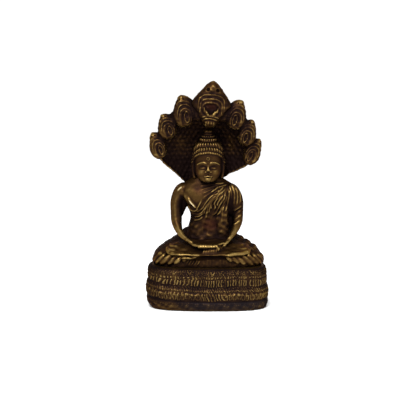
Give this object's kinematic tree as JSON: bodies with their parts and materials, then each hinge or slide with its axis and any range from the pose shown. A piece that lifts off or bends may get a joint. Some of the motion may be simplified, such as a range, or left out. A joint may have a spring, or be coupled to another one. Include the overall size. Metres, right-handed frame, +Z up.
{
  "type": "naga buddha figurine",
  "caption": "Small cast brass figure seated cross-legged with hands in the lap, on the coils of a many-headed serpent whose hood spreads behind the head.",
  "frame": {"origin": "middle of the underside of the base", "axes": "+Z up, towards the tip of the middle head; the figure faces -Y; +X is to the viewer's right"},
  "size_m": [0.0654, 0.042, 0.118],
  "materials": {
    "cast_brass": "cast brass with a dark brown patina, rubbed golden on raised edges"
  },
  "bodies": {
    "root": {"naga_buddha": "cast_brass"}
  },
  "joints": []
}
